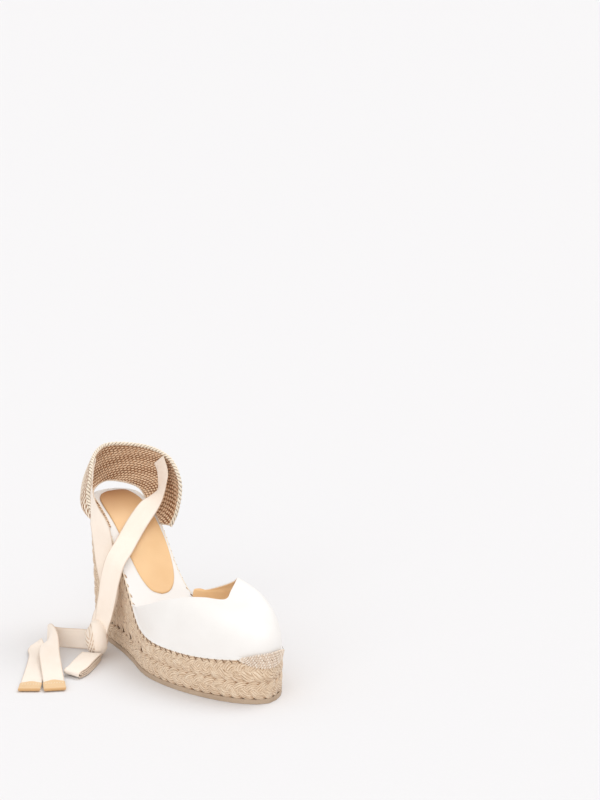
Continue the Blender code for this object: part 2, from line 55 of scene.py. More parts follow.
# Jute wrap: a base row along the outsole, and rows that follow the footbed down to it
BASE_ROW_HEIGHT = 13.1
FOREFOOT_ROW_HEIGHT = 13.1
HEEL_ROW_HEIGHT = 14.1
UPPER_ROWS = 7
FOREFOOT_START = 122.0      # in front of this the wrap has only the base row and the top row

# Footbed layers, as heights above the jute's upper edge
COVER_HEIGHTS = (0.2, 1.4)
COVER_INSET = 0.9
SOCK_HEIGHTS = (1.7, 2.7)
UPPER_FOOT = 1.8            # height of the lower edges of vamp and counter

# Upper
VAMP_THICKNESS = 1.2
LINING_THICKNESS = 0.8
COUNTER_THICKNESS = 2.2
RIM_RADIUS = 1.5
TOE_STITCH_START = 214.0
VAMP_COLUMNS = 220          # points along the vamp's lower edge
VAMP_FOOT = ((0.15, 0.1), (0.3, 0.8), (0.75, 1.4))  # inset and height of the turned foot's points

# Ribbon
RIBBON_WIDTH = 16.5
TAPE_THICKNESS = 0.8
TIP_LENGTH = 18.0
TIP_ROOF = 4.5
TIP_THICKNESS = 2.2

# Ground outline of the sole, anticlockwise seen from below, starting at the back of the heel
OUTLINE = [
    (0, 0), (3, -12), (12, -19.5), (33, -22.5), (68, -27), (95, -32.5), (119, -39),
    (138, -41.3), (155, -40.3), (175, -36.8), (195, -30.5), (215, -21), (230, -9.5), (237, 2.5),
    (234, 13.5), (222.5, 26), (201, 37), (181, 40.8), (161, 41.5), (141, 39.5), (124, 33),
    (106, 22.5), (89, 17.5), (66, 17.5), (35, 20.5), (13, 18.5), (3, 11),
]

# Height of the jute's upper edge along the shoe
FOOTBED = [
    (-4, 116.5), (10, 115), (25, 110), (42, 101.5), (60, 87), (80, 66.5), (100, 47.5),
    (120, 36), (140, 31.5), (165, 30.5), (200, 31.5), (242, 36),
]

# Outer and inner edge of the leather sock
SOCK_OUTER = [
    (6, 4), (8, -8), (15, -16), (30, -19), (54, -19.5), (75, -18.5), (86, -16.5), (93, -12.5),
    (96.5, -5),
]
SOCK_INNER = [
    (6, 4), (9, 12), (15, 15), (24, 17.5), (38, 18.3), (60, 17.8), (72, 16.5), (83, 13.5), (91, 8.5),
    (95.5, 2), (96.5, -5),
]

# Vamp: throat edge from the outer feather over both peaks and the notch to the inner feather
THROAT = [
    (101, -35.5, 48.5), (110, -36.6, 50.3), (125, -36.8, 55.6), (140, -34.5, 61.8), (151, -31, 65.7),
    (160, -27, 68.5), (168, -22, 70.3), (176, -13.5, 70.6), (183.5, 0, 68.8), (176, 10.5, 72.5),
    (166.5, 22, 78), (153, 28.3, 71.9), (137, 30.5, 64.8), (123, 29.8, 58.9), (112, 27, 54.4),
    (105, 24.2, 52), (100, 21.9, 50.6),
]
VAMP_START_U = 101.0
VAMP_END_U = 99.5

# Counter: rim, middle and lower edge, from the outer side around the heel to the inner side
COUNTER_RIM = [
    (56, -26.5, 94), (50, -33.5, 101.5), (43, -38, 110), (36, -38.6, 119), (30.5, -35.3, 128.5),
    (23.5, -29.5, 137), (16, -24.3, 144), (6, -15.5, 150), (-3, 0, 153.8), (5, 17, 154),
    (22, 28.5, 152.5), (42, 33.5, 147.5), (55, 34, 138), (60, 34, 125), (61.5, 29.7, 107),
    (59, 23.5, 91.5),
]
COUNTER_MIDDLE = [
    (55.5, -26.5, 94), (49.5, -31, 99.3), (43, -35.5, 104.3), (31, -39, 112.5), (16, -33, 120),
    (2, -21.5, 129), (-7, 0, 136), (-2, 18, 136.5), (15, 29.5, 132), (36, 34.5, 125), (51, 33, 110),
    (58.5, 23.2, 91.2),
]
COUNTER_EDGE_LIFT = [(55, 1.4), (42, 1.4), (28, 1.4), (12, 4.5)]
COUNTER_ARCH = (-5.0, 2.0, 124.0)

# Ribbons: centre of the strip and direction of its width
RIBBON_MEDIAL = [
    ((35, 28.8, 146), (0.9, 0.05, 0.3)), ((39.5, 29, 139), (0.9, 0.05, 0.3)),
    ((43.5, 27.5, 132), (0.9, 0, 0.25)), ((47, 24, 124.5), (0.95, -0.2, 0.1)),
    ((48.5, 17.5, 117.5), (0.85, 0.15, 0)), ((50, 9, 111), (0.7, 0.5, -0.25)),
    ((54, -2, 102.5), (0.6, 0.68, -0.38)), ((60, -13, 94), (0.58, 0.71, -0.38)),
    ((70, -25.2, 87.6), (0.6, 0.66, -0.4)), ((75.6, -36, 79), (0.68, 0.62, -0.35)),
    ((77, -41.7, 65.4), (0.76, 0.6, -0.2)), ((75.6, -43.8, 51), (0.85, 0.5, 0)),
    ((72.8, -45, 38.5), (0.9, 0.36, 0.05)), ((71, -45.6, 31.5), (0.93, 0.25, 0.05)),
]
RIBBON_LATERAL = [
    ((29, -28, 147.5), (0.85, -0.45, 0.25)), ((33.5, -31.5, 144), (0.86, -0.45, 0.28)),
    ((38.5, -35, 138.5), (0.88, -0.45, 0.3)), ((44, -39, 131.5), (0.93, -0.42, 0.3)),
    ((49.5, -41.3, 124.5), (0.97, -0.3, 0.28)), ((54.5, -41.7, 115), (0.97, 0.05, 0.25)),
    ((57.5, -41, 108.5), (0.88, 0.38, 0.2)), ((58.8, -39.3, 101), (0.78, 0.56, 0.15)),
    ((58.4, -37, 86), (0.72, 0.66, 0.1)), ((63.8, -37.4, 70), (0.74, 0.64, 0)),
    ((65.5, -36, 55), (0.78, 0.62, 0)), ((65, -38, 42), (0.82, 0.55, 0)),
    ((65, -43, 33), (0.85, 0.45, 0)),
]
KNOT_CENTRE = (67, -49.5, 15.2)
KNOT_RADII = (11.5, 9.5, 14.8)
RIBBON_RUN = [
    ((53.5, -49.5, 10.5), (0, 0, 1)), ((46, -51.5, 9.5), (0, 0, 1)), ((38, -57.5, 9), (0, 0, 1)),
    ((31, -64, 9), (0, 0, 1)), ((24.5, -67.3, 9), (0, 0, 1)),
]
TAIL_FRONT = [
    ((22, -70.5, 9.2), (0, 0.2, 1)), ((30, -71.8, 13), (0.05, 0.2, 0.97)),
    ((41, -78.2, 12.2), (0.26, 0.74, 0.58)), ((56, -86.5, 8), (0.4, 0.9, 0.14)),
    ((74, -94.6, 5.8), (0.42, 0.9, 0.02)), ((90, -101.7, 4.4), (0.42, 0.9, 0)),
    ((107.3, -109.4, 3), (0.42, 0.9, 0)),
]
TAIL_REAR = [
    ((19, -74, 8.9), (0, 0.1, 1)), ((21.5, -78.5, 7), (0.4, 0.45, 0.75)),
    ((27.5, -82.7, 2.9), (0.52, 0.84, 0.08)), ((36, -86.2, 2.7), (0.52, 0.85, 0.02)),
    ((46, -90.5, 2.5), (0.53, 0.85, 0)), ((62, -100.2, 2.2), (0.53, 0.85, 0)),
    ((80, -111.7, 2), (0.53, 0.85, 0)), ((98.4, -123.7, 1.8), (0.53, 0.85, 0)),
]
LOOP = [
    ((73.5, -57.5, 6.2), (0.84, 0.54, 0)), ((82, -65.5, 7), (0.8, 0.6, 0)),
    ((91, -75, 7), (0.85, 0.5, 0)), ((98.2, -83, 6.4), (0.92, 0.38, 0)),
    ((101.8, -89.4, 5.6), (0.95, 0.3, 0)), ((102.7, -91.5, 3.6), (0.95, 0.3, 0)),
    ((101.8, -89.4, 1.7), (0.95, 0.3, 0)), ((98.2, -83, 1.2), (0.92, 0.38, 0)),
    ((91, -75, 1.2), (0.85, 0.5, 0)), ((82, -66, 1.2), (0.8, 0.6, 0)),
    ((73.5, -58, 1.2), (0.84, 0.54, 0)),
]


def spline(points, count, closed=False):
    """Evenly spaced points on a Catmull-Rom curve through the given points."""
    p = np.asarray(points, float)
    if closed:
        p = np.vstack([p[-1], p, p[0], p[1]])
    else:
        p = np.vstack([2 * p[0] - p[1], p, 2 * p[-1] - p[-2]])
    t = np.linspace(0, 1, 24, endpoint=False)[:, None]
    pieces = []
    for a, b, c, d in zip(p[:-3], p[1:-2], p[2:-1], p[3:]):
        pieces.append(0.5 * (2 * b + (c - a) * t + (2 * a - 5 * b + 4 * c - d) * t ** 2
                             + (3 * b - a - 3 * c + d) * t ** 3))
    dense = np.vstack(pieces + [p[-2][None]])
    return resample(dense, count, closed)


def resample(dense, count, closed=False):
    """Points at even distances along a polyline; a closed one does not repeat its first point."""
    length = distances(dense)
    at = np.linspace(0, length[-1], count, endpoint=not closed)
    return np.stack([np.interp(at, length, dense[:, k]) for k in range(dense.shape[1])], axis=1)


def distances(points, axis=0):
    """How far each point of a line, or of a grid's lines along one axis, is from its start."""
    steps = np.linalg.norm(np.diff(points, axis=axis), axis=-1)
    return np.insert(np.cumsum(steps, axis=axis), 0, 0, axis=axis)


def profile(stations):
    """A smooth function of u through (u, value) stations."""
    curve = spline(stations, 600)
    return lambda u: np.interp(u, curve[:, 0], curve[:, 1])


footbed = profile(FOOTBED)
LOOP_COUNT = 1400           # points around the sole's outline
ground_loop = spline(OUTLINE, LOOP_COUNT, closed=True)


def unit(vectors):
    """The vectors at length one."""
    return vectors / np.linalg.norm(vectors, axis=-1, keepdims=True)


def loop_normals(loop):
    """Outward unit normals of a closed plan outline."""
    along = np.roll(loop, -1, axis=0) - np.roll(loop, 1, axis=0)
    normal = unit(np.stack([along[:, 1], -along[:, 0]], axis=1))
    outward = np.sum(normal * (loop - loop.mean(axis=0)), axis=1).sum() > 0
    return normal if outward else -normal


ground_normals = loop_normals(ground_loop)


def wall_points(height, inset, index=None):
    """Points on the wedge's wall, moved inwards by the inset, at a height that depends on u."""
    index = np.arange(LOOP_COUNT) if index is None else index
    outward = WALL_FLARE * height(ground_loop[index, 0]) - inset
    plan = ground_loop[index] + ground_normals[index] * outward[:, None]
    return np.column_stack([plan, height(plan[:, 0])])


def level(height):
    """The same height all along the shoe."""
    return lambda u: np.full_like(u, height)


def raised(lift):
    """The footbed's edge, moved up or down."""
    return lambda u: footbed(u) + lift


def edge_sides(inset, height=footbed):
    """Outer and inner v of the wedge's outline as functions of u, and its range of u."""
    edge = wall_points(height, inset)
    toe = int(np.argmax(edge[:, 0]))
    heel = int(np.argmin(edge[:, 0]))
    loop = np.roll(edge, -heel, axis=0)
    toe = (toe - heel) % LOOP_COUNT
    outer = loop[:toe + 1]
    inner = np.vstack([loop[toe:], loop[:1]])[::-1]
    return (lambda u: np.interp(u, outer[:, 0], outer[:, 1]),
            lambda u: np.interp(u, inner[:, 0], inner[:, 1]),
            outer[0, 0], outer[-1, 0])


def row_pitch(u):
    """Height of one jute row, growing from the arch to the heel."""
    share = np.clip((110 - u) / 110, 0, 1)
    slope = np.gradient(footbed(np.arange(-20, 260.0)))
    steep = np.sqrt(1 + np.interp(u, np.arange(-20, 260.0), slope) ** 2)
    return FOREFOOT_ROW_HEIGHT * steep * (1 - share ** 2) + HEEL_ROW_HEIGHT * share ** 2


def grid_normals(grid):
    """Unit normals of a grid of points."""
    return unit(np.cross(np.gradient(grid, axis=0), np.gradient(grid, axis=1)))


def feather_curve(count, inset, lift):
    """The vamp's lower edge, from the outer side around the toe to the inner side."""
    edge = wall_points(raised(lift), inset)
    behind = np.where(np.arange(LOOP_COUNT) < LOOP_COUNT // 2, VAMP_START_U, VAMP_END_U)
    return resample(edge[edge[:, 0] > behind], count)


def vamp_grid(columns, rows):
    """Points of the vamp's outer face, from the feather up to the throat."""
    foot = feather_curve(columns, 1.2, UPPER_FOOT)
    throat = spline(THROAT, columns)
    away = foot - throat
    away[:, 2] = 0
    reach = np.linalg.norm(away, axis=1)
    rise = throat[:, 2] - foot[:, 2]
    side = away / reach[:, None]
    low_handle = foot + np.outer(0.66 * rise, (0, 0, 1)) + side * np.minimum(0.08 * reach, 3)[:, None]
    high_handle = throat + side * (0.5 * reach)[:, None] - np.outer(0.12 * reach, (0, 0, 1))
    t = np.linspace(0, 1, rows)[None, :, None]
    return ((1 - t) ** 3 * foot[:, None] + 3 * t * (1 - t) ** 2 * low_handle[:, None]
            + 3 * t ** 2 * (1 - t) * high_handle[:, None] + t ** 3 * throat[:, None])


def counter_grid(columns=40, rows=7):
    """Points of the counter's middle surface, from its lower edge up to the rim."""
    outer, inner, _, _ = edge_sides(2.3)
    edge = [(u, outer(u), footbed(u) + UPPER_FOOT + lift) for u, lift in COUNTER_EDGE_LIFT]
    edge.append(COUNTER_ARCH)
    edge += [(u, inner(u), footbed(u) + UPPER_FOOT + lift) for u, lift in reversed(COUNTER_EDGE_LIFT)]
    low = spline(edge, columns)
    middle = spline(COUNTER_MIDDLE, columns)
    high = spline(COUNTER_RIM, columns)
    handle = 2 * middle - (low + high) / 2
    t = np.linspace(0, 1, rows)[None, :, None]
    return (1 - t) ** 2 * low[:, None] + 2 * t * (1 - t) * handle[:, None] + t ** 2 * high[:, None]


# Plait: strands, how far apart its lobes lie, and the points and yarns of a strand
STRANDS = 3
LOBE_PITCH = 9.0            # along the row, between two lobes on the same side
STRAND_SIDES = 48
STRAND_RIDGES = 12
PLAIT_STEP = 1.1            # between two rings of a strand
STRAND_SWING = 0.57         # of the row's half height: how far a strand leaves the middle
STRAND_WIDTH = 0.55         # of the row's half height: a strand's half width
STRAND_THICKNESS = 1.05
STRAND_DEPTH = 1.55         # of the strand's middle behind the row's outer edge
YARN_HEIGHT = 0.34
FULL_HALF_HEIGHT = 6.4      # of a row whose strands have their full thickness
BACKING_DEPTH = 2.6
SMALLEST_ROW = 1.3          # a row ends where it is lower than this

# Weave and binding of the counter
OUTSIDE_THREAD = (3.6, 3.0)
OUTSIDE_SLANT = 0.55
INSIDE_THREAD = (3.1, 2.5)
INSIDE_SLANT = 0.25
BINDING_PITCH = 6.4
BINDING_OFFSET = 0.78
BINDING_RADIUS = 0.92

# Ribbon ends: inside the knot, at the rear tail's fold and in the leather tips
MEDIAL_IN_KNOT = [((69.3, -47, 24), (0.92, 0.3, 0.02)), ((68, -48.2, 17), (0.9, 0.35, 0))]
LATERAL_IN_KNOT = [((65.6, -45.6, 25), (0.86, 0.45, 0)), ((66, -47, 17), (0.86, 0.45, 0))]
TAIL_REAR_ROOT = [((21, -77.5, 6.3), (0.35, 0.45, 0.6)), ((24, -80.4, 4.4), (0.48, 0.75, 0.3))]
TAPE_IN_TIP = 5.5
TIP_SEAM = 7.2

# Knot: axis of a band, a direction across it, half its spread and its size as shares of the
# knot, pleats, their depth, and how far the band lies off the middle
KNOT_BANDS = (
    ((0.47, 0.88, 0.1), (0, 0, 1), 1.56, 0.88, 11, 0.03, 0),
    ((0.25, -0.3, 1), (1, 0, 0), 0.42, 0.93, 3, 0.012, 0.05),
    ((0.47, 0.88, -0.3), (0, 0, 1), 0.3, 0.96, 3, 0.03, -0.45),
    ((0.47, 0.88, 0.15), (0, 0, 1), 0.62, 1.0, 1, 0.004, 0.3),
)

# Stitches
FEATHER_STEP = 6.4
FEATHER_LENGTH = 2.6
FEATHER_RADIUS = 0.34
CRESCENT_START = 11         # past the start of the toe's stitching
CRESCENT_ROWS = 6
CRESCENT_STEP = 2.15
CRESCENT_STITCH = 1.45
CRESCENT_RADIUS = 0.62

ROLL_TURNS = np.linspace(math.pi / 2, -math.pi / 2, 7)[1:-1]    # around a sheet's rounded edge

# Stage
CAMERA_PLACE = (-0.82455, -1.41156, 0.54446)
CAMERA_TURN = (78.438, 0, -33.893)
CAMERA_LENS = 95.625
WORLD_LIGHT = 0.775
FLOOR_REACH = 60.0          # metres
SUNS = (("key", 0.95, 38, (26, 0, 90)), ("fill", 0.8, 60, (63, 0, -48)))


def to_world(points):
    """Places in metres, in the frame of the part, of points in millimetres."""
    return np.stack([points[..., 1], ORIGIN_U - points[..., 0], points[..., 2]], axis=-1) * MM


def place_object(name, data):
    """A new object in the scene."""
    made = bpy.data.objects.new(name, data)
    bpy.context.scene.collection.objects.link(made)
    return made


class Builder:
    """Collects grids of points and makes one mesh object of them."""

    def __init__(self):
        self.points = []
        self.faces = []
        self.uvs = []
        self.shades = []
        self.slots = []
        self.count = 0

    def grid(self, points, uv=None, wrap=False, loop=False, shade=1.0, slot=0, caps=False):
        """A grid of points: wrap joins its last column to the first, loop its last row to the first."""
        points = np.asarray(points, float)
        rows, columns = points.shape[:2]
        if uv is None:
            uv = grid_lengths(points, wrap, loop)
        i = np.arange(rows if loop else rows - 1)[:, None]
        j = np.arange(columns if wrap else columns - 1)[None, :]
        i2, j2 = (i + 1) % rows, (j + 1) % columns
        quad = np.stack(np.broadcast_arrays(i * columns + j, i * columns + j2,
                                            i2 * columns + j2, i2 * columns + j), axis=-1)
        corner = np.stack([uv[i, j], uv[i, j + 1], uv[i + 1, j + 1], uv[i + 1, j]], axis=2)
        quad = quad.reshape(-1, 4) + self.count
        self.faces += quad.tolist()
        self.uvs.append(corner.reshape(-1, 2))
        self.slots += [slot] * len(quad)
        if caps:
            for k in (0, rows - 1):
                self.faces.append((self.count + k * columns + np.arange(columns)).tolist())
                self.uvs.append(np.repeat(uv[k, :1], columns, axis=0))
                self.slots.append(slot)
        self.points.append(points.reshape(-1, 3))
        self.shades.append(np.broadcast_to(shade, (rows, columns)).reshape(-1))
        self.count += rows * columns

    def make(self, name, materials, body, replaces, slot, sharp=None):
        """The collected grids as one piece that rides on the body and stands for the CAD nodes."""
        mesh = bpy.data.meshes.new(name)
        mesh.from_pydata(to_world(np.vstack(self.points)).tolist(), [], self.faces)
        layer = mesh.uv_layers.new(name="cloth")
        layer.data.foreach_set("uv", np.vstack(self.uvs).astype(np.float32).ravel())
        tone = mesh.attributes.new("tone", "FLOAT", "POINT")
        tone.data.foreach_set("value", np.concatenate(self.shades).astype(np.float32))
        mesh.polygons.foreach_set("material_index", self.slots)
        work = bmesh.new()
        work.from_mesh(mesh)
        bmesh.ops.recalc_face_normals(work, faces=work.faces)
        work.to_mesh(mesh)
        work.free()
        mesh.shade_smooth()
        if sharp:
            mesh.set_sharp_from_angle(angle=math.radians(sharp))
        made = place_object(name, mesh)
        for kind in materials:
            mesh.materials.append(kind)
        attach(made, body)
        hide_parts(*replaces)
        return made


def grid_lengths(points, wrap, loop):
    """Distances along and across a grid in millimetres, one more where it closes."""
    p = np.concatenate([points, points[:, :1]], axis=1) if wrap else points
    p = np.concatenate([p, p[:1]]) if loop else p
    along, across = distances(p).mean(axis=1), distances(p, 1).mean(axis=0)
    return np.stack(np.meshgrid(along, across, indexing="ij"), axis=-1)


def capsule(builder, start, end, radius, lift, shade=1.0, slot=0, sides=6, rise=0.0):
    """One small rounded stitch between two points."""
    along = unit(end - start)
    first = unit(np.cross(along, lift))
    second = np.cross(first, along)
    steps = np.array([0.0, 0.08, 0.28, 0.5, 0.72, 0.92, 1.0])
    radii = radius * np.array([0.2, 0.7, 1, 1, 1, 0.7, 0.2])
    turns = np.linspace(0, 2 * math.pi, sides, endpoint=False)
    centre = start + (end - start) * steps[:, None] + second * (rise * np.sin(math.pi * steps))[:, None]
    ring = np.cos(turns)[:, None] * first + np.sin(turns)[:, None] * second
    points = centre[:, None] + ring[None] * radii[:, None, None]
    builder.grid(points, wrap=True, shade=shade, slot=slot, caps=True)


# ---------- materials

def linear(colour):
    """A colour of the shader, from display values of 0 to 255."""
    return (*(((part / 255 + 0.055) / 1.055) ** 2.4 for part in colour), 1)


class Nodes:
    """Short ways to add nodes to one material; colours are display values of 0 to 255."""

    def __init__(self, name, roughness, specular, sheen=0.0):
        self.material = bpy.data.materials.new(name)
        self.material.use_nodes = True
        self.tree = self.material.node_tree
        self.shader = self.tree.nodes["Principled BSDF"]
        values = {"Roughness": roughness, "Specular IOR Level": specular, "Sheen Weight": sheen}
        for key, value in values.items():
            self.shader.inputs[key].default_value = value

    def add(self, kind, values=None, **settings):
        node = self.tree.nodes.new(kind)
        for key, value in settings.items():
            setattr(node, key, value)
        for key, value in (values or {}).items():
            if isinstance(value, bpy.types.NodeSocket):
                self.tree.links.new(value, node.inputs[key])
            else:
                node.inputs[key].default_value = value
        return node

    def place(self, scale, source="uv", turn=0.0):
        """Coordinates in millimetres times the scale, from the cloth UVs or the object's own space."""
        if source == "uv":
            vector = self.add("ShaderNodeUVMap", uv_map="cloth").outputs[0]
        else:
            vector = self.add("ShaderNodeTexCoord").outputs["Object"]
            scale = [s * 1000 for s in scale]
        values = {"Vector": vector, "Scale": scale, "Rotation": (0, 0, turn)}
        return self.add("ShaderNodeMapping", values).outputs[0]

    def noise(self, vector, detail=3.0, roughness=0.55, distortion=0.0):
        values = {"Vector": vector, "Scale": 1.0, "Detail": detail, "Roughness": roughness,
                  "Distortion": distortion}
        return self.add("ShaderNodeTexNoise", values).outputs[0]

    def wave(self, vector, direction="X", distortion=0.0):
        values = {"Vector": vector, "Scale": 1.0, "Distortion": distortion, "Detail": 1.0,
                  "Detail Scale": 1.0}
        return self.add("ShaderNodeTexWave", values, bands_direction=direction).outputs[1]

    def voronoi(self, vector, feature="F1"):
        values = {"Vector": vector, "Scale": 1.0}
        return self.add("ShaderNodeTexVoronoi", values, feature=feature).outputs[0]

    def math(self, operation, a, b):
        return self.add("ShaderNodeMath", {0: a, 1: b}, operation=operation).outputs[0]

    def blend(self, a, b, share):
        """Part of a and the rest of b."""
        return self.math("ADD", self.math("MULTIPLY", a, share), self.math("MULTIPLY", b, 1 - share))

    def tone(self):
        return self.add("ShaderNodeAttribute", attribute_name="tone").outputs["Fac"]

    def ramp(self, factor, stops):
        node = self.add("ShaderNodeValToRGB", {0: factor})
        ramp = node.color_ramp
        while len(ramp.elements) < len(stops):
            ramp.elements.new(0.5)
        for element, (place, colour) in zip(ramp.elements, stops):
            element.position = place
            element.color = linear(colour)
        return node.outputs[0]

    def mix(self, factor, a, b, blend="MIX"):
        node = self.add("ShaderNodeMix", data_type="RGBA", blend_type=blend)
        for key, value in ((0, factor), (6, a), (7, b)):
            if isinstance(value, bpy.types.NodeSocket):
                self.tree.links.new(value, node.inputs[key])
            else:
                node.inputs[key].default_value = value if key == 0 else linear(value)
        return node.outputs[2]

    def colour(self, socket):
        self.tree.links.new(socket, self.shader.inputs["Base Color"])

    def rough(self, factor, low, high):
        spread = self.add("ShaderNodeMapRange", {0: factor, 3: low, 4: high}).outputs[0]
        self.tree.links.new(spread, self.shader.inputs["Roughness"])

    def bump(self, heights, distance):
        """Raises the surface by (socket, strength) pairs, one on the other."""
        normal = None
        for socket, strength in heights:
            values = {"Height": socket, "Strength": strength, "Distance": distance}
            if normal is not None:
                values["Normal"] = normal
            normal = self.add("ShaderNodeBump", values).outputs[0]
        self.tree.links.new(normal, self.shader.inputs["Normal"])


def jute_material():
    """Yarn with fibres along it, darkened where its tone is low: painted shade between and under the
    yarns.
    """
    n = Nodes("jute_fibre", 0.82, specular=0.25, sheen=0.25)
    fibre = n.noise(n.place((0.2, 1.5, 1)), detail=5, roughness=0.7, distortion=0.8)
    patch = n.noise(n.place((0.035, 0.05, 0.05), "object"), detail=2)
    straw = n.ramp(fibre, [(0.34, (150, 114, 82)), (0.43, (216, 188, 158)),
                           (0.57, (243, 222, 196)), (0.75, (254, 242, 224))])
    straw = n.mix(n.math("MULTIPLY", patch, 0.35), straw, (230, 204, 174))
    # Painted shade: a dark ramp, taken where the tone is low, for the slots and valleys of the plait
    gap_shade = n.ramp(n.tone(), [(0.0, (88, 60, 42)), (0.3, (186, 152, 120)), (0.58, (255, 255, 255))])
    n.colour(n.mix(1.0, straw, gap_shade, "MULTIPLY"))
    fine = n.noise(n.place((0.5, 9.0, 1)), detail=2)
    n.bump([(fibre, 0.9), (fine, 0.5)], 0.0004)
    return n.material


def shaded_backing_material():
    """The inside of the jute wrap, seen between the strands, coloured dark as painted shade."""
    n = Nodes("jute_backing_shade", 0.95, specular=0.1)
    weave = n.noise(n.place((1.3, 1.3, 1.3), "object"), detail=3)
    n.colour(n.ramp(weave, [(0.3, (128, 94, 62)), (0.7, (176, 138, 100))]))
    n.bump([(weave, 0.6)], 0.0002)
    return n.material


def leather_material(name, light, dark, roughness, grain, shaded=None):
    """Leather with pores and soft patches; where its tone is low it takes the shaded colour, which is
    painted shade.
    """
    n = Nodes(name, roughness, specular=0.4)
    cells = n.voronoi(n.place((1.5, 1.5, 1.5), "object"), "DISTANCE_TO_EDGE")
    fine = n.noise(n.place((2.6, 2.6, 2.6), "object"), detail=4)
    broad = n.noise(n.place((0.03, 0.03, 0.03), "object"), detail=2)
    base = n.ramp(n.blend(broad, fine, 0.75), [(0.3, dark), (0.68, light)])
    if shaded:
        base = n.mix(n.tone(), shaded, base)
    n.colour(base)
    n.rough(fine, roughness - 0.06, roughness + 0.1)
    n.bump([(cells, grain), (fine, grain)], 0.00012)
    return n.material


def tape_material(name, light, dark):
    """Cotton twill tape: fine diagonal ribs, with cross threads and slubs; a darker tan where its tone
    is low, as painted shade.
    """
    n = Nodes(name, 0.86, specular=0.2, sheen=0.3)
    twill = n.wave(n.place((0.34, 0.34, 1), turn=math.radians(35)), distortion=0.8)
    weft = n.wave(n.place((0.5, 0.5, 1)), direction="Y", distortion=0.5)
    slub = n.noise(n.place((0.5, 2.4, 1)), detail=3)
    broad = n.noise(n.place((0.04, 0.1, 1)), detail=2)
    base = n.ramp(n.blend(slub, broad, 0.45), [(0.32, dark), (0.64, light)])
    base = n.mix(n.math("MULTIPLY", twill, 0.1), base, dark)
    n.colour(n.mix(n.tone(), (196, 160, 122), base))
    n.bump([(twill, 0.35), (weft, 0.25), (slub, 0.3)], 0.00025)
    return n.material


def thread_material(name, light, dark, gap_shade=(96, 66, 42)):
    """Twisted thread; where its tone is low it takes a darker colour, painted shade between threads and
    stitches.
    """
    n = Nodes(name, 0.75, specular=0.25, sheen=0.2)
    ply = n.wave(n.place((0.3, 0.4, 1), turn=0.7), distortion=0.6)
    spot = n.noise(n.place((1.2, 1.2, 1.2), "object"), detail=2)
    base = n.ramp(n.blend(ply, spot, 0.4), [(0.25, dark), (0.6, light)])
    n.colour(n.mix(n.tone(), gap_shade, base))
    n.bump([(ply, 0.5), (spot, 0.3)], 0.0003)
    return n.material


def woven_material(name, roughness, shine, ground, low, high):
    """One face of the counter's cloth: tone 0 is the ground between the threads, 1 a thread's top."""
    n = Nodes(name, roughness, specular=shine, sheen=shine)
    spot = n.noise(n.place((0.8, 0.8, 0.8), "object"), detail=3)
    n.colour(n.mix(n.tone(), ground, n.ramp(spot, [(0.3, low), (0.5, high)])))
    n.bump([(spot, 0.5)], 0.0003)
    return n.material


def rubber_material(name, light, dark, roughness):
    """Matt crepe rubber, finely grained and a little uneven in colour."""
    n = Nodes(name, roughness, specular=0.35)
    grain = n.noise(n.place((1.1, 1.1, 1.1), "object"), detail=4)
    broad = n.noise(n.place((0.04, 0.04, 0.1), "object"), detail=2)
    n.colour(n.ramp(n.blend(grain, broad, 0.35), [(0.3, dark), (0.7, light)]))
    n.rough(grain, roughness - 0.08, roughness + 0.12)
    n.bump([(grain, 0.35)], 0.0002)
    return n.material


def granular_material(name, light, dark, size):
    """Pressed grains or foam cells; size is their number in a millimetre."""
    n = Nodes(name, 0.9, specular=0.2)
    cells = n.voronoi(n.place((size, size, size), "object"))
    n.colour(n.ramp(cells, [(0.1, light), (0.7, dark)]))
    n.bump([(cells, 0.5)], 0.0004)
    return n.material


JUTE = jute_material()
SHADED_BACKING = shaded_backing_material()
WHITE = leather_material("white_leather_grain", (245, 242, 239), (239, 235, 231), 0.45, 0.2)
TAN = leather_material("tan_leather_grain", (244, 204, 154), (234, 189, 136),
                       0.42, 0.3, shaded=(160, 106, 64))
TIP = leather_material("tip_leather_grain", (236, 202, 158), (228, 190, 142),
                       0.45, 0.3, shaded=(200, 148, 88))
TAPE = tape_material("cotton_tape", (255, 243, 230), (251, 236, 221))
STITCH = thread_material("stitch_thread", (250, 240, 222), (222, 196, 160))
BINDING = thread_material("binding_thread", (255, 246, 230), (240, 218, 190), gap_shade=(124, 93, 69))
GREY_THREAD = thread_material("toe_thread", (254, 244, 232), (236, 216, 196), gap_shade=(206, 178, 150))
DARK_THREAD = thread_material("seam_thread", (150, 114, 80), (96, 66, 44))
WOVEN_OUT = woven_material("woven_outside", 0.85, 0.2, (150, 104, 70), (240, 216, 186), (255, 244, 226))
WOVEN_IN = woven_material("woven_inside", 0.88, 0.15, (140, 96, 64), (216, 172, 132), (252, 224, 192))
RUBBER = rubber_material("outsole_rubber", (198, 176, 152), (178, 154, 130), 0.5)
INLAY = rubber_material("inlay_rubber", (240, 214, 160), (232, 202, 142), 0.38)
CORK = granular_material("cork_grain", (196, 150, 100), (120, 80, 48), 0.5)
BOARD = granular_material("fibre_board", (170, 132, 94), (126, 92, 60), 1.4)
FOAM = granular_material("latex_foam", (240, 232, 206), (214, 200, 166), 1.1)


for node, kind in (("outsole", RUBBER), ("heel_lift", RUBBER), ("forefoot_inlay", INLAY),
                   ("heel_inlay", INLAY), ("wedge_core", CORK), ("insole_board", BOARD),
                   ("foam_footbed", FOAM), ("toe_puff", BOARD)):
    for slot in bpy.data.objects[node].material_slots:
        slot.link = "OBJECT"
        slot.material = kind


# ---------- jute plaits


